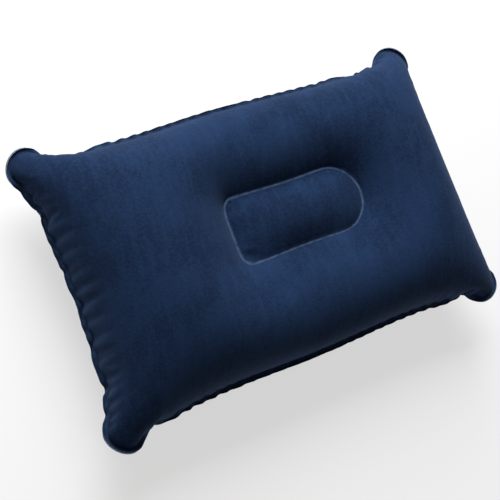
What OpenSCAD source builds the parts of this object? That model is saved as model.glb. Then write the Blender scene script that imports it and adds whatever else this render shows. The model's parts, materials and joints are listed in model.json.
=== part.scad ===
// Inflatable camp pillow: two flocked sheets welded round the edge, a D-shaped
// tie column that holds the middle down, and a push-in mouth valve underneath.
// Millimetres. X runs along the pillow, Z is up, and the ground is z = 0.

/* [Outline] */
// Distance between the middles of the two short seams
mid_l = 389; // [370:1:410]
// Distance between the middles of the two long seams
mid_w = 235; // [220:1:250]
// Seam to seam length over the ears
ear_l = 432; // [424:1:440]
// Seam to seam width over the ears
ear_w = 274; // [268:1:282]
// Radius of the rounded ears
ear_r = 22; // [18:1:26]
// How far each end of an ear's arc turns past a quarter circle, in degrees
ear_extra = 25; // [15:1:30]
// Width of the flat welded margin outside the seam
margin_w = 6; // [4:0.5:8]

/* [Lobes] */
// Height of the seam plane above the ground
seam_h = 54; // [52:0.5:56]
// Crown height that a very wide lobe would reach above the seam plane
crown_limit = 67; // [60:1:70]
// Share by which the crowns sink towards the ears
ear_sink = 0.12; // [0:0.01:0.2]
// Thickness of the flocked sheet
sheet_t = 0.6; // [0.5:0.05:0.8]

/* [Tie column] */
// Length of the D-shaped column
tie_l = 131; // [124:1:140]
// Width of the D-shaped column, and diameter of its round end
tie_w = 62; // [56:1:68]
// Offset of the column from the middle, along the pillow
tie_x = 17; // [10:1:24]
// Offset of the column from the middle, across the pillow
tie_y = 5.5; // [0:0.5:8]
// Height of the weld above the seam plane
tie_h = 26; // [24:0.5:32]
// Rise of the little dome inside the column
dome_h = 8; // [4:0.5:10]
// Width of the weld between the column and a sheet
tie_weld_w = 4; // [3:0.5:6]
// Thickness of the column's film
tie_t = 0.4; // [0.3:0.05:0.6]
// Diameter of the air holes in the column
vent_d = 12; // [8:1:16]

/* [Valve] */
// Direction of the valve from the column, in degrees from the X axis
valve_dir = 11; // [8:1:16]
// Radius of the weld disc
disc_r = 15; // [13:0.5:16]
// Thickness of the weld disc
disc_t = 0.8; // [0.6:0.1:1]
// Radius of the hole in the weld disc
disc_hole_r = 8.4; // [8:0.1:9]
// Radius of the stem's bore
bore_r = 3.5; // [3.3:0.1:3.7]
// Radius of the wider mouth that the plug sits in
mouth_r = 3.8; // [3.7:0.1:3.9]
// Wall of the stem
stem_wall = 1.5; // [1.2:0.1:1.6]
// Length of the stem
stem_l = 18; // [16:0.5:19]
// How far the stem's mouth stands out when it is pushed in
mouth_h = 3; // [2.8:0.1:3.4]
// Length of the plug's shank
shank_l = 4.5; // [4:0.1:4.8]
// Radius of the plug's head
head_r = 6.5; // [6.2:0.1:7]
// Thickness of the plug's head
head_t = 2.2; // [1.8:0.1:2.4]
// Thickness of the one-way flap
flap_t = 0.5; // [0.4:0.05:0.6]

/* [Hidden] */
$fn = 64;

navy = [0.11, 0.18, 0.33];
film_blue = [0.20, 0.27, 0.42];
milky = [0.85, 0.87, 0.88];

// Steps of the outline and of a section
long_steps = 13;
short_steps = 15;
ear_steps = 6;
lobe_steps = 11;
dome_steps = 4;

// ---------- outline of the seam ----------
ear_cx = ear_l / 2 - ear_r;
ear_cy = ear_w / 2 - ear_r;
long_end = ear_cx - ear_r * sin(ear_extra);
short_end = ear_cy - ear_r * sin(ear_extra);
long_rise = ear_cy + ear_r * cos(ear_extra) - mid_w / 2;
short_rise = ear_cx + ear_r * cos(ear_extra) - mid_l / 2;
long_power = 6;
short_power = 3;

// One quarter of the outline, counter-clockwise: half a short side, an ear, half a long side
function short_side(y) = [mid_l / 2 + short_rise * pow(abs(y) / short_end, short_power), y];
function long_side(x) = [x, mid_w / 2 + long_rise * pow(abs(x) / long_end, long_power)];
function ear_point(a, r) = [ear_cx + r * cos(a), ear_cy + r * sin(a)];

function ear_arc() = [for (i = [0 : ear_steps])
    ear_point(-ear_extra + i * (90 + 2 * ear_extra) / ear_steps, ear_r)];
function side_up() = [for (i = [1 : short_steps - 1])
    short_side(short_end * (2 * i / short_steps - 1))];
function side_left() = [for (i = [1 : long_steps - 1])
    long_side(long_end * (1 - 2 * i / long_steps))];
function half_outline() = concat(side_up(), ear_arc(), side_left(),
    [for (i = [ear_steps : -1 : 0]) let (p = ear_arc()[i]) [-p.x, p.y]]);
outline = concat(half_outline(), [for (p = half_outline()) [-p.x, -p.y]]);
points_round = len(outline);

// Outward direction at each point of the outline
function unit(v) = v / norm(v);
function neighbour(i) = outline[(i + points_round) % points_round];
function out_dir(k) = let (d = neighbour(k + 1) - neighbour(k - 1)) unit([d.y, -d.x]);

// ---------- outline of the tie column, seen from its own middle ----------
tie_c = [tie_x, tie_y];
round_cx = tie_l / 2 - tie_w / 2;
corner_power = 12;
function inv(v) = 1 / max(v, 0.001);
function round_end_r(a) =
    round_cx * cos(a) + sqrt(max(pow(tie_w / 2, 2) - pow(round_cx * sin(a), 2), 0));
function square_end_r(a) = let (
        to_side = abs(sin(a)) / (tie_w / 2),
        to_end = max(-cos(a), 0) / (tie_l / 2)
    ) inv(pow(pow(to_side, corner_power) + pow(to_end, corner_power), 1 / corner_power));
function tie_r(a) =
    cos(a) > 0 && round_end_r(a) * cos(a) >= round_cx ? round_end_r(a) : square_end_r(a);

// ---------- one section, from the column out to the seam ----------
soft_power = 4;
side_power = 0.5;
ear_power = 0.9;
ear_reach = 3 * ear_r;
dome_power = 0.6;
function way(k) = outline[k] - tie_c;
function angle_of(k) = atan2(way(k).y, way(k).x);
function span(k, t) = norm(way(k)) - tie_r(angle_of(k)) - tie_weld_w / 2 - t;
// 1 at the tip of an ear, falling to 0 along the sides
function ear_share(k) = let (
        p = outline[k],
        d = norm([abs(p.x) - ear_cx, abs(p.y) - ear_cy])
    ) pow(max(1 - max(d - ear_r, 0) / ear_reach, 0), 2);
function arc_r(k) = (pow(span(k, 0), 2) + pow(tie_h, 2)) / (2 * span(k, 0));
function crown(k) = (1 - ear_sink * ear_share(k))
    * pow(pow(arc_r(k), -soft_power) + pow(crown_limit, -soft_power), -1 / soft_power);
function lobe_power(k) = side_power + (ear_power - side_power) * ear_share(k);
function inner_sine(k) = sqrt(1 - pow(tie_h / crown(k), 1 / lobe_power(k)));

// Plan distance from the column's weld and height, at step i of the lobe; t is the inset
function lobe_point(k, i, t) = let (
        s = inner_sine(k),
        first = asin(s),
        a = -first + i / lobe_steps * (90 + first),
        share = (sin(a) + s) / (1 + s),
        h = pow(max(cos(a), 0), 2 * lobe_power(k))
    ) [share * span(k, t), (crown(k) - t) * h];
function lobe_ring(i, t) = [for (k = [0 : points_round - 1]) let (
        a = angle_of(k),
        q = lobe_point(k, i, t),
        r = tie_r(a) + tie_weld_w / 2 + q.x
    ) [tie_c.x + r * cos(a), tie_c.y + r * sin(a), i == lobe_steps ? 0 : q.y]];

// The dome inside the column, and the inner edge of the weld
function dome_ring(i, t) = [for (k = [0 : points_round - 1]) let (
        a = angle_of(k),
        u = i / dome_steps,
        r = (tie_r(a) - tie_weld_w / 2) * u
    ) [tie_c.x + r * cos(a), tie_c.y + r * sin(a),
       tie_h - t + dome_h * pow(max(1 - u * u, 0), dome_power)]];
function margin_ring(z) = [for (k = [0 : points_round - 1]) let (
        p = outline[k] + margin_w * out_dir(k)
    ) [p.x, p.y, z]];

// Every ring of a closed shell: out along the outside, back along the inside
function shell_rings() = concat(
    [for (i = [1 : dome_steps]) dome_ring(i, 0)],
    [for (i = [0 : lobe_steps - 1]) lobe_ring(i, 0)],
    [[for (p = lobe_ring(lobe_steps, 0)) [p.x, p.y, sheet_t]]],
    [margin_ring(sheet_t)],
    [margin_ring(0)],
    [for (i = [lobe_steps : -1 : 0]) lobe_ring(i, sheet_t)],
    [for (i = [dome_steps : -1 : 1]) dome_ring(i, sheet_t)]);

// ---------- place and flat seat of the valve ----------
// The seat's middle is the point where one column of the shell crosses one ring of the lobe
valve_step = 8;
valve_ring = dome_steps + valve_step;
valve_k = [for (k = [0 : points_round - 1])
    if (angle_of(k) <= valve_dir && angle_of((k + 1) % points_round) > valve_dir) k][0];
function grid_point(i, k) = turned(lobe_ring(valve_step + i, 0)[valve_k + k], 0);
valve_c = grid_point(0, 0);
valve_n = unit(cross(grid_point(0, 1) - grid_point(0, -1), grid_point(1, 0) - grid_point(-1, 0)));
valve_dip = asin(-valve_n.z);
valve_turn = atan2(valve_n.y, valve_n.x);
hole_rim = 0.8;
seat_rim = 2;
sheet_hole_r = disc_hole_r + hole_rim;
seat_r = disc_r + seat_rim;
// The eight points round the seat's middle, as steps of [ring, column], lie on the hole's edge,
// and the sixteen points round those lie on the edge of the flat seat
around = [[-1, -1], [-1, 0], [-1, 1], [0, 1], [1, 1], [1, 0], [1, -1], [0, -1]];
edge_r = [0, sheet_hole_r, seat_r];
function steps_away(i, k) = max(abs(i - valve_ring), abs(k - valve_k));
function seat_way(p) = let (v = p - valve_c) v - v * valve_n * valve_n;
function on_seat(p, steps) = steps == 0 ? p : valve_c + edge_r[steps] * unit(seat_way(p));

// ---------- the two sheets ----------
// The upper half as it is, and the lower half turned over, flat where it meets the ground
function upper(p) = [p.x, p.y, seam_h + p.z];
function turned(p, low) = [p.x, p.y, max(seam_h - p.z, low)];
function lower_ring(rings, i) = let (
        last = len(rings) - 1,
        outer_i = min(i, last - i),
        is_inner = i > outer_i
    ) [for (k = [0 : points_round - 1]) let (steps = steps_away(outer_i, k))
        steps < len(edge_r)
            ? on_seat(turned(rings[outer_i][k], 0), steps) - (is_inner ? sheet_t * valve_n : [0, 0, 0])
            : turned(rings[i][k], is_inner ? sheet_t : 0)];

// A closed shell from its rings; hole is [ring, column] of a point that is cut out, or undef
module closed_shell(rings, apex_out, apex_in, is_turned, hole) {
    n = points_round;
    count = len(rings);
    last = count - 1;
    tip = count * n;
    function in_hole(i, k) = is_list(hole)
        && (min(i, last - 1 - i) == hole[0] - 1 || min(i, last - 1 - i) == hole[0])
        && (k == hole[1] - 1 || k == hole[1]);
    caps = [for (k = [0 : n - 1]) each [
        [tip, (k + 1) % n, k],
        [tip + 1, tip - n + k, tip - n + (k + 1) % n]]];
    walls = [for (i = [0 : last - 1], k = [0 : n - 1])
        if (!in_hole(i, k))
            let (a = i * n + k, b = i * n + (k + 1) % n)
            each [[a, b, b + n], [a, b + n, a + n]]];
    hole_edge = is_list(hole) ? [for (j = around) (hole[0] + j[0]) * n + hole[1] + j[1]] : [];
    hole_back = is_list(hole) ? [for (j = around) (last - hole[0] - j[0]) * n + hole[1] + j[1]] : [];
    hole_sides = [for (j = [0 : len(hole_edge) - 1]) let (m = (j + 1) % len(around)) each [
        [hole_edge[j], hole_edge[m], hole_back[m]],
        [hole_edge[j], hole_back[m], hole_back[j]]]];
    faces = concat(caps, walls, hole_sides);
    polyhedron(
        points = concat([for (ring = rings) each ring], [apex_out, apex_in]),
        faces = is_turned ? [for (f = faces) [f[2], f[1], f[0]]] : faces,
        convexity = 10);
}

apex = [tie_c.x, tie_c.y, tie_h + dome_h];
apex_inner = apex - [0, 0, sheet_t];

module top_panel() {
    color(navy)
        closed_shell(
            [for (ring = shell_rings()) [for (p = ring) upper(p)]],
            upper(apex), upper(apex_inner), false);
}

module bottom_panel() {
    rings = shell_rings();
    color(navy)
        closed_shell(
            [for (i = [0 : len(rings) - 1]) lower_ring(rings, i)],
            turned(apex, 0), turned(apex_inner, 0), true, [valve_ring, valve_k]);
}

// ---------- tie column ----------
module tie_outline(inset) {
    polygon([for (k = [0 : points_round - 1]) let (a = angle_of(k), r = tie_r(a) - inset)
        [r * cos(a), r * sin(a)]]);
}

foot_gap = 0.1;
foot_z = tie_h - sheet_t - foot_gap;
vent_row = [-1.5 : 1 : 1.5];
vent_pitch = tie_l / 5;

module tie_foot() {
    linear_extrude(tie_t)
        difference() {
            tie_outline(-tie_weld_w / 2);
            tie_outline(tie_weld_w / 2);
        }
}

module tie_column() {
    color(film_blue)
        translate([tie_c.x, tie_c.y, seam_h]) {
            difference() {
                translate([0, 0, -foot_z])
                    linear_extrude(2 * foot_z)
                        difference() {
                            tie_outline(0);
                            tie_outline(tie_t);
                        }
                for (i = vent_row)
                    translate([i * vent_pitch, 0, 0])
                        rotate([90, 0, 0])
                            cylinder(h = 2 * tie_w, d = vent_d, center = true);
            }
            translate([0, 0, foot_z - tie_t])
                tie_foot();
            translate([0, 0, -foot_z])
                tie_foot();
        }
}

// ---------- valve: Z points out of the pillow, and z = 0 is the sheet's outer face ----------
stem_r = bore_r + stem_wall;
tip_room = 0.5;
mouth_step = mouth_h - shank_l - tip_room;
disc_top = -sheet_t - foot_gap;
foot_end = mouth_h - stem_l;
collar_rim = 0.9;
foot_rim = 1.3;
collar_r = stem_r + collar_rim;
foot_r = stem_r + foot_rim;
foot_h = 1.2;
lip_h = 1.1;
hinge_y = 9.5;
hinge_h = mouth_h - 2;
running_gap = 0.1;
arm_w = 4;
arm_t = 0.8;
knuckle_r = 0.45;

module at_valve() {
    translate(valve_c)
        rotate([0, 90 + valve_dip, valve_turn])
            children();
}

module turned_ring(inner_r, outer_r, low, high) {
    translate([0, 0, low])
        difference() {
            cylinder(h = high - low, r = outer_r);
            translate([0, 0, -1])
                cylinder(h = high - low + 2, r = inner_r);
        }
}

module valve_disc() {
    color(milky)
        at_valve()
            turned_ring(disc_hole_r, disc_r, disc_top - disc_t, disc_top);
}

skirt_t = 0.5;
module valve_skirt() {
    low = foot_end + foot_h + running_gap;
    high = disc_top - disc_t - running_gap;
    top_r = disc_hole_r + skirt_t;
    bottom_r = foot_r - skirt_t;
    color(milky)
        at_valve()
            rotate_extrude()
                polygon([[bottom_r, low], [bottom_r + skirt_t, low],
                         [top_r + skirt_t, high], [top_r, high]]);
}

module valve_stem() {
    color(milky)
        at_valve()
            rotate_extrude()
                polygon([[bore_r, foot_end], [foot_r, foot_end], [foot_r, foot_end + foot_h],
                         [stem_r, foot_end + foot_h], [stem_r, mouth_h - lip_h],
                         [collar_r, mouth_h - lip_h], [collar_r, mouth_h], [mouth_r, mouth_h],
                         [mouth_r, mouth_step], [bore_r, mouth_step]]);
}

flap_rim = 0.9;
flap_r = bore_r + flap_rim;
flap_arm_w = 3;
flap_reach = 0.5;
flap_hinge_y = stem_r + flap_reach;
module check_flap() {
    color(milky)
        at_valve()
            translate([0, 0, foot_end - running_gap - flap_t]) {
                cylinder(h = flap_t, r = flap_r);
                translate([-flap_arm_w / 2, 0, 0])
                    cube([flap_arm_w, flap_hinge_y, flap_t]);
                translate([0, flap_hinge_y, flap_t / 2])
                    rotate([0, 90, 0])
                        cylinder(h = flap_arm_w, r = flap_t / 2, center = true);
            }
}

strap_low = hinge_h - arm_t / 2;
ring_rim = 0.5;
module strap_ring() {
    reach = hinge_y - knuckle_r - running_gap;
    color(milky)
        at_valve()
            difference() {
                union() {
                    translate([0, 0, strap_low])
                        cylinder(h = arm_t, r = collar_r + ring_rim);
                    translate([-arm_w / 2, 0, strap_low])
                        cube([arm_w, reach, arm_t]);
                }
                translate([0, 0, strap_low - 1])
                    cylinder(h = arm_t + 2, r = stem_r + running_gap / 2);
            }
}

shank_gap = 0.35;
shank_taper = 0.85;
shank_r = mouth_r - shank_gap;
shank_tip_r = shank_r - shank_taper;
head_bevel = 0.5;
head_low = mouth_h + running_gap / 2;
tab_l = 4;
// The arm seen from its side, from the hinge line to the head
arm_low = 2.6;
arm_high = arm_low + arm_t;
arm_slope = tan(55);
arm_root = head_r - hinge_y - head_bevel;
arm_in = -0.12;
arm_out = 0.85;
function arm_y(side, z) = side - z / arm_slope;
arm_profile = [[-knuckle_r, 0], [knuckle_r, 0], [arm_y(arm_out, knuckle_r), knuckle_r],
    [arm_y(arm_out, arm_high), arm_high], [arm_root, arm_high],
    [arm_root, arm_low], [arm_y(arm_in, arm_low), arm_low],
    [arm_y(arm_in, knuckle_r), knuckle_r]];
module valve_plug() {
    color(milky)
        at_valve() {
            rotate_extrude()
                polygon([[0, mouth_h - shank_l], [shank_tip_r, mouth_h - shank_l],
                         [shank_r, head_low], [head_r, head_low],
                         [head_r, head_low + head_t - head_bevel],
                         [head_r - head_bevel, head_low + head_t], [0, head_low + head_t]]);
            // pull tab, opposite the hinge
            translate([-arm_w / 2, -head_r - tab_l, head_low + head_t - arm_t])
                cube([arm_w, tab_l + 1, arm_t]);
            // arm, sloped so that it clears the sheet when the plug hangs open
            translate([-arm_w / 2, hinge_y, hinge_h])
                rotate([90, 0, 90])
                    linear_extrude(arm_w)
                        polygon(arm_profile);
            translate([0, hinge_y, hinge_h])
                rotate([0, 90, 0])
                    cylinder(h = arm_w, r = knuckle_r, center = true);
        }
}

top_panel();
bottom_panel();
tie_column();
valve_disc();
valve_skirt();
valve_stem();
check_flap();
strap_ring();
valve_plug();
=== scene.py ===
import json
import math
import bmesh
import bpy
import numpy as np
from mathutils import Matrix, Vector
from mathutils.geometry import delaunay_2d_cdt


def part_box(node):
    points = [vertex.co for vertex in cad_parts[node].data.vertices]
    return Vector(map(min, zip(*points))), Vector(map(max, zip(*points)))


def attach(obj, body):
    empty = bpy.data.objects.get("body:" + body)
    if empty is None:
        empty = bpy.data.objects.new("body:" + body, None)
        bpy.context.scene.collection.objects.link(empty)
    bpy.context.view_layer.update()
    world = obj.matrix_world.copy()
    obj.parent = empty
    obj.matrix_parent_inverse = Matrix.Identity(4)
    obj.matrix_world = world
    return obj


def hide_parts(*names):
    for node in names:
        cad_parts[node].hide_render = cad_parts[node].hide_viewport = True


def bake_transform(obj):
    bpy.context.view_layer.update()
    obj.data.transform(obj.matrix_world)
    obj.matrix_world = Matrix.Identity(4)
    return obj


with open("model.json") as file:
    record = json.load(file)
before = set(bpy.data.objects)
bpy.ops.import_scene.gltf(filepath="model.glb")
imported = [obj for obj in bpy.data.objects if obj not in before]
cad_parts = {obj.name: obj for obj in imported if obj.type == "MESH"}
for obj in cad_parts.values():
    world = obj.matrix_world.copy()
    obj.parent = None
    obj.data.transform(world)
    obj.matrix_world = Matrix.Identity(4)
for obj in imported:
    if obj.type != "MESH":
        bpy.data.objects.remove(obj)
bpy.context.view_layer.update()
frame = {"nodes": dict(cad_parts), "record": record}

# ---------- the flat cut, in metres, round its own middle ----------
WELD_L = 0.454  # weld line to weld line, along the pillow
WELD_W = 0.288
WELD_CORNER_R = 0.022
BARREL = 0.028  # how much wider the cut is in the middle of its length
BARREL_END = 0.018  # and how much longer in the middle of its width
MARGIN = 0.006  # flat margin outside the weld line
TIE_AT = (0.0193, 0.0082)  # middle of the D-shaped weld
TIE_L = 0.1325
TIE_W = 0.063
TIE_SQUARE_R = 0.010  # corner radius of its square end
TIE_ROUND_R = 0.0313  # corner radius of its round end
TIE_WELD = 0.003  # width of the flat weld, inside the D line
SHEET_T = 0.0006

SEAM_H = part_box("top_panel")[0].z
TIE_GAP = 0.0001  # between the sheet and the top of the column
TIE_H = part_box("tie_column")[1].z - SEAM_H + TIE_GAP

# ---------- the mesh of the cut ----------
LINE_RAYS = 4000  # how finely a closed line is traced
LINE_ROUNDS = 40
ARC_STEP = 0.001
ARC_PARTS = 20
CLEAR_SHARE = 0.6  # free strip beside a line, in mesh spacings
MERGE = 1e-7
ON_LINE = 1e-5  # a point this near a line counts as on it
PROBE = 1e-5
SNAP_ROUNDS = 4
TINY = 1e-12

# ---------- inflation ----------
COARSE = 0.009  # spacing of the first mesh; two halvings follow
STAGES = (  # steps, push per step, rounds of constraints
    (500, 0.0006, 6),
    (250, 0.0002, 6),
    (110, 0.00004, 6),
)
WRINKLE_STAGE = 2  # the stage whose mesh is fine enough to buckle into puckers
DAMP = 0.9
PUSH_FADE = 0.9  # how much of the push is gone by the last step
TOP_SPEED = 0.002
START_REACH = 0.05  # how far in from the weld the first shape still rises
START_SLOPE = 0.6
SQUEEZE = 0.02  # how strongly a shortened edge springs back
BEND = 0.1
PUCKER_LONG = 0.014  # from one pucker to the next along the weld
PUCKER_REACH = 0.010  # how far in from the weld they reach
PUCKER_START = 0.0006
PUCKER_SQUEEZE = 0.4
UNEVEN = ((1.6, 0.061, 0), (1.1, 0.027, 2))  # size, length and offset of each change of pace
SMOOTH_SHARE = 0.1  # how much of the puckers is left in the middle of a long side
SMOOTH_HALF = 0.08  # half the length of that middle
SMOOTH_FADE = 0.08
FINE_BEND = 0.35
DOME_SPARE = 0.11  # how much longer the sheet is inside the D than the tie


def smooth(t):
    t = np.clip(t, 0, 1)
    return t * t * (3 - 2 * t)


def box_sdf(p, centre, half, r):
    """Signed distance from points p to a rounded rectangle; r is one radius for each point."""
    q = np.abs(p - np.array(centre)) - (np.array(half) - np.stack([r, r], axis=1))
    return np.linalg.norm(np.maximum(q, 0), axis=1) + np.minimum(q.max(axis=1), 0) - r


def weld_sdf(p):
    longer = 1 + BARREL_END * np.cos(np.clip(p[:, 1] / WELD_W, -0.5, 0.5) * math.pi)
    wider = 1 + BARREL * np.cos(np.clip(p[:, 0] / WELD_L, -0.5, 0.5) * math.pi)
    even = np.stack([p[:, 0] / longer, p[:, 1] / wider], axis=1)
    return box_sdf(even, (0, 0), (WELD_L / 2, WELD_W / 2), np.full(len(p), WELD_CORNER_R))


def tie_sdf(p):
    r = np.where(p[:, 0] < TIE_AT[0], TIE_SQUARE_R, TIE_ROUND_R)
    return box_sdf(p, TIE_AT, (TIE_L / 2, TIE_W / 2), r)


LINES = ((weld_sdf, MARGIN, (0, 0)), (weld_sdf, 0.0, (0, 0)),
         (tie_sdf, 0.0, TIE_AT), (tie_sdf, -TIE_WELD, TIE_AT))


def line_points(sdf, level, centre, h):
    """Points about h apart along the closed line where sdf is level."""
    a = np.linspace(0, 2 * math.pi, LINE_RAYS, endpoint=False)
    way = np.stack([np.cos(a), np.sin(a)], axis=1)
    near, far = np.zeros(len(a)), np.ones(len(a))
    for _ in range(LINE_ROUNDS):
        mid = (near + far) / 2
        outside = sdf(np.array(centre) + way * mid[:, None]) > level
        far = np.where(outside, mid, far)
        near = np.where(outside, near, mid)
    line = np.array(centre) + way * near[:, None]
    line = np.vstack([line, line[:1]])
    along = np.concatenate([[0], np.cumsum(np.linalg.norm(np.diff(line, axis=0), axis=1))])
    n = int(round(along[-1] / h))
    at = np.arange(n) * along[-1] / n
    return np.stack([np.interp(at, along, line[:, 0]), np.interp(at, along, line[:, 1])], axis=1)


def flat_mesh(h):
    """Even triangles over the cut, with the cut's edge, the weld line and the D line as edges."""
    loops = [line_points(sdf, level, centre, h) for sdf, level, centre in LINES]
    edges, first = [], 0
    for loop in loops:
        n = len(loop)
        edges += [(first + i, first + (i + 1) % n) for i in range(n)]
        first += n
    across = np.arange(-WELD_L, WELD_L, h)
    up = np.arange(-WELD_W, WELD_W, h * math.sqrt(3) / 2)
    grid = np.array([(x + (j % 2) * h / 2, y) for j, y in enumerate(up) for x in across])
    clear = CLEAR_SHARE * h
    off_tie = np.abs(tie_sdf(grid) + TIE_WELD / 2) - TIE_WELD / 2
    grid = grid[(weld_sdf(grid) < -clear) & (off_tie > clear)]
    made = delaunay_2d_cdt([Vector(p) for p in np.vstack([*loops, grid])], edges, [], 0, MERGE)
    return np.array([p[:] for p in made[0]]), np.array([t for t in made[2] if len(t) == 3])


def edges_of(f):
    e = np.sort(np.vstack([f[:, [0, 1]], f[:, [1, 2]], f[:, [2, 0]]]), axis=1)
    return np.unique(e, axis=0, return_inverse=True)


def onto_line(p, sdf, level):
    """Moves points along the distance's own slope until they lie on the line."""
    e = PROBE
    for _ in range(SNAP_ROUNDS):
        d = sdf(p) - level
        gx = (sdf(p + [e, 0]) - sdf(p - [e, 0])) / (2 * e)
        gy = (sdf(p + [0, e]) - sdf(p - [0, e])) / (2 * e)
        p = p - np.stack([gx * d, gy * d], axis=1)
    return p


def halve(flat, f, x):
    """Each triangle becomes four; new points on a line stay on the line."""
    e, which = edges_of(f)
    which = which.ravel()
    mid = (flat[e[:, 0]] + flat[e[:, 1]]) / 2
    for sdf, level, _ in LINES:
        on = (np.abs(sdf(flat[e].reshape(-1, 2)) - level) < ON_LINE).reshape(-1, 2).all(axis=1)
        if on.any():
            mid[on] = onto_line(mid[on], sdf, level)
    n, m = len(flat), len(f)
    a, b, c = (which[i * m:(i + 1) * m] + n for i in range(3))
    parts = ((f[:, 0], a, c), (a, f[:, 1], b), (c, b, f[:, 2]), (a, b, c))
    faces = np.vstack([np.stack(part, axis=1) for part in parts])
    return np.vstack([flat, mid]), faces, np.vstack([x, (x[e[:, 0]] + x[e[:, 1]]) / 2])


def batches(pairs, flat, give):
    """The pairs in groups with no point twice, each with its rest lengths and its give."""
    used = [0] * len(flat)
    group = np.zeros(len(pairs), int)
    for k, (a, b) in enumerate(pairs.tolist()):
        taken, g = used[a] | used[b], 0
        while taken >> g & 1:
            g += 1
        used[a] |= 1 << g
        used[b] |= 1 << g
        group[k] = g
    rest = np.linalg.norm(flat[pairs[:, 0]] - flat[pairs[:, 1]], axis=1)
    give = (give[pairs[:, 0]] + give[pairs[:, 1]]) / 2
    picks = [np.nonzero(group == g)[0] for g in range(group.max() + 1)]
    return [(pairs[p, 0], pairs[p, 1], rest[p], give[p]) for p in picks]


def hinge_pairs(f):
    """The two points that face each other across each inner edge."""
    facing = {}
    for t in f.tolist():
        for i in range(3):
            a, b = t[i], t[(i + 1) % 3]
            facing.setdefault((min(a, b), max(a, b)), []).append(t[(i + 2) % 3])
    return np.array([v for v in facing.values() if len(v) == 2])


def normals(x, f):
    n = np.cross(x[f[:, 1]] - x[f[:, 0]], x[f[:, 2]] - x[f[:, 0]])
    out = np.zeros_like(x)
    for k in range(3):
        for d in range(3):
            out[:, d] += np.bincount(f[:, k], n[:, d], len(x))
    return out / (np.linalg.norm(out, axis=1)[:, None] + TINY)


def pull(x, groups, stiff):
    """Moves each pair towards its rest length: stiff where it is too long, give where too short."""
    for i, j, rest, give in groups:
        d = x[j] - x[i]
        long = np.sqrt((d * d).sum(axis=1)) + TINY
        d *= (np.where(long > rest, stiff, give) / 2 * (long - rest) / long)[:, None]
        x[i] += d
        x[j] -= d


def seam_arc(flat):
    """How far along the weld line the nearest point of it lies, for each point."""
    line = line_points(weld_sdf, 0.0, (0, 0), ARC_STEP)
    near = [((part[:, None] - line[None]) ** 2).sum(axis=2).argmin(axis=1)
            for part in np.array_split(flat, ARC_PARTS)]
    return np.concatenate(near) * ARC_STEP


def bell(d, reach):
    return np.exp(-(d / reach) ** 2)


def pucker_share(flat):
    """1 near the ears and along the short sides, and little in the middle of the long sides."""
    return np.maximum(smooth((np.abs(flat[:, 0]) - SMOOTH_HALF) / SMOOTH_FADE), SMOOTH_SHARE)


def first_puckers(flat, f, x):
    """A faint uneven wave along the weld, for the sheet to buckle from."""
    a = seam_arc(flat)
    uneven = sum(size * np.sin(a / long + offset) for size, long, offset in UNEVEN)
    wave = np.sin(a / PUCKER_LONG * 2 * math.pi + uneven)
    local = bell(weld_sdf(flat), PUCKER_REACH) * pucker_share(flat)
    return x + normals(x, f) * (wave * local * PUCKER_START)[:, None]


def inflate(flat, f, x, steps, push, rounds, wrinkles):
    """Air pressure against a sheet that hardly stretches, held at the seam plane and at the tie."""
    d = weld_sdf(flat)
    give, bend = np.full(len(flat), SQUEEZE), np.full(len(flat), BEND)
    seam = d > -ON_LINE
    held = seam
    if wrinkles:
        held = np.abs(d) < ON_LINE
        local = bell(d, PUCKER_REACH) * pucker_share(flat)
        give += PUCKER_SQUEEZE * local
        bend += (FINE_BEND - BEND) * local
        x = first_puckers(flat, f, x)
    edges = batches(edges_of(f)[0], flat, give)
    hinges = batches(hinge_pairs(f), flat, bend)
    tie_d = tie_sdf(flat)
    for i, j, rest, _ in edges:
        inside = (tie_d[i] + tie_d[j]) / 2 < -TIE_WELD - ON_LINE
        rest[inside] *= 1 + DOME_SPARE
    tie = (tie_d < ON_LINE) & (tie_d > -TIE_WELD - ON_LINE)
    v = np.zeros_like(x)
    for s in range(steps):
        old = x
        x = x + v * DAMP
        x[~seam] += (normals(old, f) * push * (1 - PUSH_FADE * s / steps))[~seam]
        for _ in range(rounds):
            pull(x, edges, 1.0)
            pull(x, hinges, 0.0)
            x[held, 2] = 0
            x[tie, 2] = TIE_H
        v = x - old
        speed = np.linalg.norm(v, axis=1, keepdims=True)
        v *= np.minimum(1, TOP_SPEED / (speed + TINY))
    return x


def inflated_half():
    """The upper sheet blown up: its flat points, triangles and places, seam plane at zero."""
    flat, f = flat_mesh(COARSE)
    x = np.column_stack([flat, np.clip(-weld_sdf(flat), 0, START_REACH) * START_SLOPE])
    for k, (steps, push, rounds) in enumerate(STAGES):
        if k:
            flat, f, x = halve(flat, f, x)
        x = inflate(flat, f, x, steps, push, rounds, k == WRINKLE_STAGE)
    x[:, :2] -= (x[:, :2].min(axis=0) + x[:, :2].max(axis=0)) / 2
    return flat, f, x


# ---------- mesh helpers ----------
MM = 0.001
MEETING = 1e-6  # points this near each other are one point


def new_mesh(name, points, faces):
    mesh = bpy.data.meshes.new(name)
    mesh.from_pydata([tuple(p) for p in points], [], [tuple(map(int, f)) for f in faces])
    mesh.update()
    obj = bpy.data.objects.new(name, mesh)
    bpy.context.scene.collection.objects.link(obj)
    for poly in mesh.polygons:
        poly.use_smooth = True
    return obj


def rim_edges(f):
    """The edges that only one triangle has, in that triangle's direction."""
    e = np.vstack([f[:, [0, 1]], f[:, [1, 2]], f[:, [2, 0]]])
    _, first, count = np.unique(np.sort(e, axis=1), axis=0, return_index=True, return_counts=True)
    return e[first[count == 1]]


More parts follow.
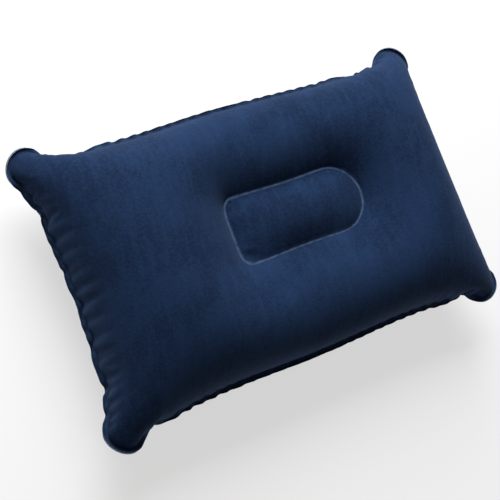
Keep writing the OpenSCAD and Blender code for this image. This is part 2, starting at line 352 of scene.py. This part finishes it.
def sheet_piece(name, x, f, thick, marks):
    """A closed sheet: x is the welded inner face, and the flocked outside is thick away."""
    n = len(x)
    out = x + normals(x, f) * thick[:, None]
    rim = rim_edges(f)
    band = np.vstack([
        np.stack([rim[:, 1], rim[:, 0], rim[:, 0] + n], axis=1),
        np.stack([rim[:, 1], rim[:, 0] + n, rim[:, 1] + n], axis=1)])
    obj = new_mesh(name, np.vstack([x, out]), np.vstack([f[:, ::-1], f + n, band]))
    bare = np.ones(2 * len(f) + len(band), int)
    bare[len(f):2 * len(f)] = 0
    obj.data.polygons.foreach_set("material_index", bare)
    for title, values in marks.items():
        layer = obj.data.attributes.new(title, "FLOAT", "POINT")
        layer.data.foreach_set("value", np.tile(values, 2))
    return obj


FILLET_STEPS = 3
FILLET_SHARE = 0.45  # the most of an edge that one fillet may take


def filleted(profile, r):
    """A closed outline with each corner rounded off, but for those on the turning axis."""
    out = []
    n = len(profile)
    for i in range(n):
        before, at, after = (np.array(profile[(i + k) % n], float) for k in (-1, 0, 1))
        if at[0] == 0:
            out.append(at)
            continue
        a, b = before - at, after - at
        cut = min(r, FILLET_SHARE * np.linalg.norm(a), FILLET_SHARE * np.linalg.norm(b))
        p, q = at + a / np.linalg.norm(a) * cut, at + b / np.linalg.norm(b) * cut
        for k in range(FILLET_STEPS + 1):
            t = k / FILLET_STEPS
            out.append((1 - t) ** 2 * p + 2 * t * (1 - t) * at + t * t * q)
    return out


AROUND = 56  # steps round a turned part


def lathe(profile):
    """Points and faces of an outline of (radius, height) turned round the Z axis."""
    points = []
    faces = []
    n = len(profile)
    for k in range(AROUND):
        a = 2 * math.pi * k / AROUND
        points += [(r * math.cos(a), r * math.sin(a), z) for r, z in profile]
        after = (k + 1) % AROUND
        for i in range(n):
            j = (i + 1) % n
            faces.append((k * n + i, after * n + i, after * n + j, k * n + j))
    return points, faces


def prism(outline, low, high, r, along="z"):
    """Points and faces of a convex outline made into a plate with softened edges."""
    base = np.array(outline, float)
    middle = base.mean(axis=0)
    size = np.abs(base - middle).max(axis=0)
    small = middle + (base - middle) * (1 - r / size)
    rings = ((small, low), (base, low + r), (base, high - r), (small, high))
    n = len(base)
    points = [(a, b, z) for ring, z in rings for a, b in ring]
    if along == "x":
        points = [(z, a, b) for a, b, z in points]
    faces = [tuple(range(n))[::-1], tuple(3 * n + i for i in range(n))]
    for k in range(3):
        for i in range(n):
            j = (i + 1) % n
            faces.append((k * n + i, k * n + j, (k + 1) * n + j, (k + 1) * n + i))
    return points, faces


def joined(*parts):
    points, faces = [], []
    for p, f in parts:
        first = len(points)
        points += [tuple(q) for q in p]
        faces += [tuple(i + first for i in face) for face in f]
    return points, faces


# ---------- the valve's frame, from the record ----------
joints = {j["name"]: j for j in frame["record"]["behaviour"]["joints"]}
mounts = {m["name"]: m for m in frame["record"]["mounts"]}
VALVE_N = np.array(mounts["valve_mouth"]["axis"], float)
BORE_MIDDLE = -8.5 * MM  # height of the bore's middle in the valve's frame
VALVE_C = np.array(mounts["valve_mouth"]["pos_m"], float) - VALVE_N * BORE_MIDDLE
VALVE_X = -np.array(joints["plug_flip"]["axis"], float)
VALVE_Y = np.cross(VALVE_N, VALVE_X)
VALVE_FRAME = np.stack([VALVE_X, VALVE_Y, VALVE_N])
HOLE_R = 9.2 * MM
SEAT_R = 16.5 * MM
SEAT_BLEND_R = 36 * MM
SETTLE_SOFT = 1.2 * MM


def to_valve(x):
    return (x - VALVE_C) @ VALVE_FRAME.T


def from_valve(x):
    return np.asarray(x) @ VALVE_FRAME + VALVE_C


def seat_and_hole(x, f):
    """Draws the sheet flat round the valve and cuts the hole in it."""
    q = to_valve(x)
    r = np.hypot(q[:, 0], q[:, 1])
    near = np.abs(q[:, 2]) < SEAT_R
    share = smooth((SEAT_BLEND_R - r) / (SEAT_BLEND_R - SEAT_R)) * near
    q[:, 2] += (-SHEET_T - q[:, 2]) * share
    cut = near & (r < HOLE_R)
    f = f[~cut[f].any(axis=1)]
    edge = np.unique(rim_edges(f))
    edge = edge[near[edge] & (r[edge] < SEAT_R)]
    q[edge, :2] *= (HOLE_R / r[edge])[:, None]
    return from_valve(q), f


def settle(z):
    """Lies flat where it meets the floor, with a soft turn up out of it."""
    return SHEET_T + SETTLE_SOFT * np.logaddexp(0, (z - SHEET_T) / SETTLE_SOFT)


def compact(x, f, marks):
    used = np.unique(f)
    place = np.full(len(x), -1)
    place[used] = np.arange(len(used))
    return x[used], place[f], {name: values[used] for name, values in marks.items()}


# ---------- material nodes ----------
def new_material(name):
    mat = bpy.data.materials.new(name)
    mat.use_nodes = True
    return mat, mat.node_tree, mat.node_tree.nodes["Principled BSDF"]


def feed(tree, socket, value):
    if isinstance(value, bpy.types.NodeSocket):
        tree.links.new(value, socket)
    else:
        socket.default_value = value


def noise(tree, vector, scale, detail=2.0, rough=0.5):
    n = tree.nodes.new("ShaderNodeTexNoise")
    feed(tree, n.inputs["Vector"], vector)
    n.inputs["Scale"].default_value = scale
    n.inputs["Detail"].default_value = detail
    n.inputs["Roughness"].default_value = rough
    return n.outputs["Fac"]


def place_of(tree):
    return tree.nodes.new("ShaderNodeTexCoord").outputs["Object"]


def stretched(tree, size, turn=(0, 0, 0)):
    """The place in units of size, along axes turned by turn degrees."""
    n = tree.nodes.new("ShaderNodeMapping")
    n.vector_type = "TEXTURE"
    feed(tree, n.inputs["Vector"], place_of(tree))
    n.inputs["Scale"].default_value = size
    n.inputs["Rotation"].default_value = [math.radians(a) for a in turn]
    return n.outputs["Vector"]


def ramp(tree, value, low, high, to_low=0.0, to_high=1.0):
    n = tree.nodes.new("ShaderNodeMapRange")
    n.interpolation_type = "SMOOTHSTEP"
    feed(tree, n.inputs["Value"], value)
    for name, v in zip(("From Min", "From Max", "To Min", "To Max"), (low, high, to_low, to_high)):
        n.inputs[name].default_value = v
    return n.outputs["Result"]


def calc(tree, how, a, b=0.0):
    n = tree.nodes.new("ShaderNodeMath")
    n.operation = how
    feed(tree, n.inputs[0], a)
    feed(tree, n.inputs[1], b)
    return n.outputs[0]


def mix(tree, share, a, b):
    n = tree.nodes.new("ShaderNodeMix")
    n.data_type = "RGBA"
    feed(tree, n.inputs["Factor"], share)
    feed(tree, n.inputs["A"], a)
    feed(tree, n.inputs["B"], b)
    return n.outputs["Result"]


def mark(tree, name):
    n = tree.nodes.new("ShaderNodeAttribute")
    n.attribute_name = name
    return n.outputs["Fac"]


def bump(tree, height, depth, strength=1.0, before=None):
    n = tree.nodes.new("ShaderNodeBump")
    feed(tree, n.inputs["Height"], height)
    n.inputs["Distance"].default_value = depth
    n.inputs["Strength"].default_value = strength
    if before:
        feed(tree, n.inputs["Normal"], before)
    return n.outputs["Normal"]


def near_line(tree, name, at, wide):
    """1 on the line where the mark equals at, falling to 0 at wide from it."""
    off = calc(tree, "ABSOLUTE", calc(tree, "SUBTRACT", mark(tree, name), at))
    return ramp(tree, off, 0.0, wide, 1.0, 0.0)


NAVY_DEEP = (0.0044, 0.0115, 0.033, 1)
NAVY = (0.0084, 0.0222, 0.061, 1)
NAVY_LIGHT = (0.0165, 0.0375, 0.096, 1)
# colour of the flattened flock at the welds, partly a painted highlight: it also lights the D weld track
# and the painted rim band on the cut edge
CRUSHED_FLOCK_AND_HIGHLIGHT = (0.055, 0.092, 0.172, 1)
NAP = 1500  # noise cells in a metre
GRAIN = 420
CRUSH_GRAIN = 150
PATCH_SIZE, PATCH_TURN = (0.06, 0.045, 0.06), (0, 0, 25)
STROKE_SIZE, STROKE_TURN = (0.006, 0.030, 0.020), (0, 0, -8)
WIPE_SIZE, WIPE_TURN = (0.005, 0.045, 0.020), (0, 0, -58)
TRACK_AT, TRACK_WIDE, TRACK_SHARE = -1.5, 2.4, 1.0  # mm from the D line
PRESSED_AT, PRESSED_WIDE, PRESSED_SHARE = 2.4, 2.6, 0.26  # mm outside the weld line
# painted rim highlight: a pale band along the outer cut edge, in mm outside the weld line
RIM_LIGHT_AT, RIM_LIGHT_WIDE, RIM_LIGHT_SHARE = 6.0, 0.8, 0.45
FLOCK_ROUGH, CRUSHED_SMOOTHER = 0.92, 0.3
FLOCK_SPECULAR = 0.06
FLOCK_SHEEN, FLOCK_SHEEN_ROUGH = 0.13, 0.45
FLOCK_SHEEN_TINT = (0.32, 0.48, 0.85, 1)


def flock_light(tree, stroke, grain):
    """How light the nap looks: strokes, wipes, brushed patches and grain, added up."""
    patch = noise(tree, stretched(tree, PATCH_SIZE, PATCH_TURN), 1.0, 3, 0.55)
    wipe = noise(tree, stretched(tree, WIPE_SIZE, WIPE_TURN), 1.0, 2, 0.5)
    light = 0.0
    for value, low, high, share in (
            (stroke, 0.40, 0.75, 0.22),
            (wipe, 0.60, 0.80, 0.25),
            (patch, 0.30, 0.72, 0.34),
            (grain, 0.35, 0.70, 0.26)):
        light = calc(tree, "ADD", light, calc(tree, "MULTIPLY", ramp(tree, value, low, high), share))
    return light


def share_near(tree, name, at, wide, share):
    return calc(tree, "MULTIPLY", near_line(tree, name, at, wide), share)


def flock_material():
    """Short navy flock: fine nap, brushed patches, stroke marks, flattened nap at the welds whose lighter
    colour is partly a painted highlight, and a painted rim highlight along the cut edge.
    """
    mat, tree, b = new_material("navy_flock")
    even = place_of(tree)
    nap = noise(tree, even, NAP, 3, 0.7)
    grain = noise(tree, even, GRAIN, 3, 0.6)
    stroke = noise(tree, stretched(tree, STROKE_SIZE, STROKE_TURN), 1.0, 3, 0.55)
    light = flock_light(tree, stroke, grain)
    colour = mix(tree, ramp(tree, light, 0.0, 0.45), NAVY_DEEP, NAVY)
    colour = mix(tree, ramp(tree, light, 0.42, 1.1), colour, NAVY_LIGHT)
    colour = mix(tree, ramp(tree, nap, 0.30, 0.72, 0.0, 0.30), colour, NAVY_LIGHT)
    # the D weld track: flattened flock, its lighter colour partly a painted highlight
    track = share_near(tree, "tie_mm", TRACK_AT, TRACK_WIDE, TRACK_SHARE)
    pressed = share_near(tree, "seam_mm", PRESSED_AT, PRESSED_WIDE, PRESSED_SHARE)
    # painted rim highlight along the outer cut edge
    rim_light = share_near(tree, "seam_mm", RIM_LIGHT_AT, RIM_LIGHT_WIDE, RIM_LIGHT_SHARE)
    # all the lighter bands: flattened flock at the welds, with painted highlight on the track and painted
    # rim highlight on the cut edge
    crushed_and_highlight = calc(tree, "MAXIMUM", calc(tree, "MAXIMUM", track, pressed), rim_light)
    uneven = ramp(tree, noise(tree, even, CRUSH_GRAIN, 2, 0.5), 0.25, 0.65, 0.35, 1.0)
    crushed_and_highlight = calc(tree, "MULTIPLY", crushed_and_highlight, uneven)
    feed(tree, b.inputs["Base Color"], mix(tree, crushed_and_highlight, colour, CRUSHED_FLOCK_AND_HIGHLIGHT))
    smoother = calc(tree, "MULTIPLY", crushed_and_highlight, CRUSHED_SMOOTHER)
    feed(tree, b.inputs["Roughness"], calc(tree, "SUBTRACT", FLOCK_ROUGH, smoother))
    b.inputs["Specular IOR Level"].default_value = FLOCK_SPECULAR
    b.inputs["Sheen Weight"].default_value = FLOCK_SHEEN
    b.inputs["Sheen Roughness"].default_value = FLOCK_SHEEN_ROUGH
    b.inputs["Sheen Tint"].default_value = FLOCK_SHEEN_TINT
    rough = bump(tree, nap, 0.00022, 0.8)
    rough = bump(tree, grain, 0.0005, 0.55, rough)
    rough = bump(tree, stroke, 0.0012, 0.3, rough)
    sunk = calc(tree, "MULTIPLY", track, -1.0)
    feed(tree, b.inputs["Normal"], bump(tree, sunk, 0.0004, 0.7, rough))
    return mat


BARE_DARK, BARE_PALE = (0.06, 0.09, 0.14, 1), (0.14, 0.18, 0.25, 1)
BARE_GRAIN, BARE_ROUGH = 600, 0.42


def bare_pvc():
    """The cut edge and the unflocked back of the sheet."""
    mat, tree, b = new_material("bare_pvc")
    fine = noise(tree, place_of(tree), BARE_GRAIN, 2, 0.5)
    feed(tree, b.inputs["Base Color"], mix(tree, ramp(tree, fine, 0.3, 0.7), BARE_DARK, BARE_PALE))
    b.inputs["Roughness"].default_value = BARE_ROUGH
    feed(tree, b.inputs["Normal"], bump(tree, fine, 0.0002, 0.5))
    return mat


CLOUD, MOULD_GRAIN = 160, 1900  # noise cells in a metre
MARK_SIZE, MARK_TURN = (0.002, 0.011, 0.003), (20, 35, 50)
SMOOTHEST, ROUGHEST = 0.34, 0.52
GLOW_REACH = (0.004, 0.004, 0.0045)
COAT, COAT_ROUGH = 0.15, 0.3


def soft_pvc(name, deep, pale, glow):
    """Moulded or rolled soft PVC: faint clouding, mould grain and handling marks."""
    mat, tree, b = new_material(name)
    even = place_of(tree)
    cloud = noise(tree, even, CLOUD, 3, 0.5)
    grain = noise(tree, even, MOULD_GRAIN, 2, 0.5)
    scuff = noise(tree, stretched(tree, MARK_SIZE, MARK_TURN), 1.0, 3, 0.6)
    feed(tree, b.inputs["Base Color"], mix(tree, ramp(tree, cloud, 0.32, 0.68), deep, pale))
    feed(tree, b.inputs["Roughness"], ramp(tree, scuff, 0.35, 0.7, SMOOTHEST, ROUGHEST))
    b.inputs["Subsurface Weight"].default_value = glow
    b.inputs["Subsurface Radius"].default_value = GLOW_REACH
    b.inputs["Subsurface Scale"].default_value = 1.0
    b.inputs["Coat Weight"].default_value = COAT
    b.inputs["Coat Roughness"].default_value = COAT_ROUGH
    feed(tree, b.inputs["Normal"], bump(tree, grain, 0.00008, 0.6, bump(tree, scuff, 0.00012, 0.4)))
    return mat


# ---------- the two sheets ----------
PRESS = 0.25 * MM  # how much thinner the sheet is where it is welded
SEAM_PRESS_AT, SEAM_PRESS_REACH = 2.3, 2.6  # mm
TIE_PRESS_AT, TIE_PRESS_REACH = -1.5, 3.0
FLANGE_FROM = 1e-3
flat, tri, half = inflated_half()
seam_mm, tie_mm = weld_sdf(flat) / MM, tie_sdf(flat) / MM
marks = {"seam_mm": seam_mm, "tie_mm": tie_mm}
flange = seam_mm > FLANGE_FROM


def sheet_thickness(seam_mm, tie_mm):
    weld = smooth(1 - np.abs(seam_mm - SEAM_PRESS_AT) / SEAM_PRESS_REACH)
    tie = smooth(1 - np.abs(tie_mm - TIE_PRESS_AT) / TIE_PRESS_REACH)
    return SHEET_T - PRESS * np.maximum(weld, tie)


upper = half + [0, 0, SEAM_H]
lower = half * [1, 1, -1]
lower[flange, 2] *= -1
lower[:, 2] = settle(lower[:, 2] + SEAM_H)
lower, lower_tri = seat_and_hole(lower, tri[:, ::-1])
lower, lower_tri, lower_marks = compact(lower, lower_tri, marks)
top = sheet_piece("top_sheet", upper, tri, sheet_thickness(seam_mm, tie_mm), marks)
bottom = sheet_piece("bottom_sheet", lower, lower_tri,
                     sheet_thickness(lower_marks["seam_mm"], lower_marks["tie_mm"]), lower_marks)
navy, bare = flock_material(), bare_pvc()
for piece, node in ((top, "top_panel"), (bottom, "bottom_panel")):
    piece.data.materials.append(navy)
    piece.data.materials.append(bare)
    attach(piece, "pillow")
    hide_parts(node)


# ---------- the valve, in millimetres in its own frame: Z points out of the pillow ----------
HINGE_Y, HINGE_Z = 9.5, 1.0
HINGE_R = 0.45
STEM_IN, STEM_OUT = -15, 3.0  # heights of its two ends
BORE_R, MOUTH_R = 3.5, 3.8
STEM_R, COLLAR_R, FOOT_R = 5.0, 5.9, 6.3
DISC_R, DISC_HOLE_R = 15, 8.4
DISC_LOW, DISC_STEP, DISC_HIGH = -1.5, -1.05, -0.7
SKIRT_RINGS, SKIRT_R, SKIRT_FLARE, SKIRT_ROLL, SKIRT_T = 14, 5.8, 3.1, 0.35, 0.5
SKIRT_LOW, SKIRT_RISE = -13.7, 12.1
FLAP_R, FLAP_LOW, FLAP_HIGH = 4.4, -15.6, -15.1
RING_IN, RING_OUT, RING_LOW, RING_HIGH = 5.05, 6.4, 0.6, 1.4
ARM_HALF = 2
HEAD_R, HEAD_LOW, HEAD_HIGH = 6.5, 3.05, 5.25
SHANK_R, SHANK_LOW = 3.4, -1.5
TAB_LOW_Y, TAB_HIGH_Y = -10.5, -5.6
RIB_HALF_X, RIB_HALF_Y, RIB_YS = 1.5, 0.25, (-9.4, -8.4, -7.4)
ARM_LOW, ARM_HIGH, ARM_SLOPE = 2.6, 3.4, math.tan(math.radians(55))
ARM_ROOT, ARM_IN, ARM_OUT = -3.9, -0.12, 0.85
SLOT_STEPS = 8


def slot_outline(half_w, low_y, high_y):
    """A strip along Y with a round end at low_y."""
    arc = [(half_w * math.cos(a), low_y + half_w + half_w * math.sin(a))
           for a in (math.pi + math.pi * k / SLOT_STEPS for k in range(SLOT_STEPS + 1))]
    return [*arc, (half_w, high_y), (-half_w, high_y)]


def mended(mesh):
    """Merges the points that meet on a turning axis, and turns every face outwards."""
    made = bmesh.new()
    made.from_mesh(mesh)
    bmesh.ops.remove_doubles(made, verts=made.verts, dist=MEETING)
    bmesh.ops.recalc_face_normals(made, faces=made.faces)
    made.to_mesh(mesh)
    made.free()


def valve_piece(name, node, body, shape, finish):
    points, faces = shape
    obj = new_mesh(name, from_valve(np.array(points) * MM), faces)
    mended(obj.data)
    obj.data.materials.append(finish)
    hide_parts(node)
    if body:
        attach(obj, body)
    return obj


def box_outline(half_x, low_y, high_y):
    return [(-half_x, low_y), (half_x, low_y), (half_x, high_y), (-half_x, high_y)]


def disc_shape():
    return lathe(filleted([
        (DISC_HOLE_R, DISC_LOW), (DISC_R, DISC_LOW), (DISC_R, DISC_STEP), (DISC_R - 0.8, DISC_HIGH),
        (DISC_HOLE_R, DISC_HIGH)], 0.25))


def stem_shape():
    return lathe(filleted([
        (BORE_R, STEM_IN), (FOOT_R, STEM_IN), (FOOT_R, -13.8), (5.15, -13.7), (STEM_R, -12.5),
        (STEM_R, 1.7), (5.35, 1.9), (COLLAR_R, 2.05), (COLLAR_R, STEM_OUT), (MOUTH_R, STEM_OUT),
        (MOUTH_R, -1.9), (BORE_R, -2.1)], 0.35))


def skirt_shape():
    """The thin cone that lets the stem go in and out, with a soft roll at each end."""
    out = [(SKIRT_R + SKIRT_FLARE * t + SKIRT_ROLL * math.sin(2 * math.pi * t), SKIRT_LOW + SKIRT_RISE * t)
           for t in (k / SKIRT_RINGS for k in range(SKIRT_RINGS + 1))]
    back = [(r + SKIRT_T, z) for r, z in reversed(out)]
    return lathe([*out, *back])


def flap_shape():
    disc = lathe(filleted([(0, FLAP_LOW), (FLAP_R, FLAP_LOW), (FLAP_R, FLAP_HIGH), (0, FLAP_HIGH)], 0.15))
    arm = prism(box_outline(1.5, 2.5, 5.6), FLAP_LOW + 0.02, FLAP_HIGH - 0.02, 0.12)
    return joined(disc, arm)


def strap_shape():
    ring = lathe(filleted([
        (RING_IN, RING_LOW), (RING_OUT, RING_LOW), (RING_OUT, RING_HIGH), (RING_IN, RING_HIGH)], 0.25))
    arm = prism(box_outline(ARM_HALF, 5.9, 8.95), RING_LOW + 0.02, RING_HIGH - 0.02, 0.2)
    return joined(ring, arm)


def plug_arm():
    """The arm's side view in two convex parts, and the round knuckle at its foot."""
    side = [(-HINGE_R, 0), (HINGE_R, 0), (ARM_OUT - HINGE_R / ARM_SLOPE, HINGE_R),
            (ARM_OUT - ARM_HIGH / ARM_SLOPE, ARM_HIGH), (ARM_ROOT, ARM_HIGH), (ARM_ROOT, ARM_LOW),
            (ARM_IN - ARM_LOW / ARM_SLOPE, ARM_LOW), (ARM_IN - HINGE_R / ARM_SLOPE, HINGE_R)]
    low, high = [side[i] for i in (0, 1, 2, 3, 6, 7)], side[3:7]
    knuckle = [(HINGE_R * math.cos(a), HINGE_R * math.sin(a)) for a in (math.pi * k / 8 for k in range(16))]
    outlines = [[(HINGE_Y + y, HINGE_Z + z) for y, z in part] for part in (low, high, knuckle)]
    return [prism(outline, -ARM_HALF, ARM_HALF, 0.15, along="x") for outline in outlines]


def plug_shape():
    body = lathe(filleted([
        (0, SHANK_LOW), (2.3, SHANK_LOW), (2.6, -1.2), (3.0, 0.2), (SHANK_R, 0.6), (SHANK_R, 1.2),
        (3.1, 1.5), (3.3, HEAD_LOW), (HEAD_R, HEAD_LOW), (HEAD_R, 4.9), (6.1, HEAD_HIGH),
        (5.2, HEAD_HIGH), (4.9, 4.95), (0, 4.85)], 0.3))
    tab = prism(slot_outline(ARM_HALF, TAB_LOW_Y, TAB_HIGH_Y), HEAD_HIGH - 0.8, HEAD_HIGH, 0.2)
    ribs = [prism(box_outline(RIB_HALF_X, y - RIB_HALF_Y, y + RIB_HALF_Y),
                  HEAD_HIGH - 0.15, HEAD_HIGH + 0.25, 0.12) for y in RIB_YS]
    return joined(body, tab, *ribs, *plug_arm())


MILK_DEEP, MILK_PALE, MILK_GLOW = (0.42, 0.47, 0.52, 1), (0.62, 0.67, 0.71, 1), 0.35
FILM_DEEP, FILM_PALE = (0.03, 0.055, 0.13, 1), (0.06, 0.09, 0.18, 1)
milky = soft_pvc("milky_pvc", MILK_DEEP, MILK_PALE, MILK_GLOW)
film = soft_pvc("tie_film", FILM_DEEP, FILM_PALE, 0.0)
valve_piece("weld_disc", "valve_disc", "pillow", disc_shape(), milky)
valve_piece("stem_tube", "valve_stem", "stem", stem_shape(), milky)
valve_piece("one_way_flap", "check_flap", "flap", flap_shape(), milky)
valve_piece("plug_strap", "strap_ring", "stem", strap_shape(), milky)
valve_piece("plug", "valve_plug", "plug", plug_shape(), milky)
skirt = valve_piece("push_skirt", "valve_skirt", None, skirt_shape(), milky)
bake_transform(skirt)
column = frame["nodes"]["tie_column"]
column.data.materials.clear()
column.data.materials.append(film)


# ---------- camera, lights and floor ----------
CAM_AIM = Vector((-0.0297, -0.0110, SEAM_H))
CAM_AZ, CAM_EL, CAM_ROLL = -81.43, 63.67, 61.2  # degrees
CAM_AWAY = 0.921
LENS_MM, SENSOR_MM = 72, 36
KEY_AT, KEY_AIM = (0.10, 1.22, 0.98), (0, 0, 0.05)
KEY_SIZE, KEY_POWER = 1.1, 48
SKY, SKY_STRENGTH = (1.0, 0.96, 0.84, 1), 0.13
FLOOR_HALF = 3
FLOOR_GREY, FLOOR_ROUGH = (0.30, 0.30, 0.31, 1), 0.8
FLOOR_GLOW, FLOOR_GLOW_STRENGTH = (1, 1, 1, 1), 0.62


def camera():
    az, el = math.radians(CAM_AZ), math.radians(CAM_EL)
    back = Vector((math.sin(az) * math.cos(el), -math.cos(az) * math.cos(el), math.sin(el)))
    cam = bpy.data.objects.new("camera", bpy.data.cameras.new("camera"))
    bpy.context.scene.collection.objects.link(cam)
    cam.data.lens, cam.data.sensor_width = LENS_MM, SENSOR_MM
    cam.location = CAM_AIM + back * CAM_AWAY
    look = (-back).to_track_quat("-Z", "Y")
    cam.rotation_mode = "QUATERNION"
    cam.rotation_quaternion = look @ Matrix.Rotation(math.radians(CAM_ROLL), 3, "Z").to_quaternion()
    bpy.context.scene.camera = cam


def area(name, place, aim, size, power):
    light = bpy.data.objects.new(name, bpy.data.lights.new(name, "AREA"))
    bpy.context.scene.collection.objects.link(light)
    light.data.size, light.data.energy = size, power
    light.location = place
    light.rotation_mode = "QUATERNION"
    light.rotation_quaternion = (Vector(aim) - Vector(place)).to_track_quat("-Z", "Y")


camera()
area("key", KEY_AT, KEY_AIM, KEY_SIZE, KEY_POWER)
world = bpy.data.worlds.new("studio")
bpy.context.scene.world = world
world.use_nodes = True
world.node_tree.nodes["Background"].inputs["Color"].default_value = SKY
world.node_tree.nodes["Background"].inputs["Strength"].default_value = SKY_STRENGTH
bpy.context.scene.view_settings.view_transform = "Standard"

corners = [(x * FLOOR_HALF, y * FLOOR_HALF, 0) for x, y in ((-1, -1), (1, -1), (1, 1), (-1, 1))]
floor = new_mesh("floor", corners, [(0, 1, 2, 3)])
floor_mat, _, floor_shader = new_material("floor")
floor_shader.inputs["Base Color"].default_value = FLOOR_GREY
floor_shader.inputs["Roughness"].default_value = FLOOR_ROUGH
floor_shader.inputs["Emission Color"].default_value = FLOOR_GLOW
floor_shader.inputs["Emission Strength"].default_value = FLOOR_GLOW_STRENGTH
floor.data.materials.append(floor_mat)
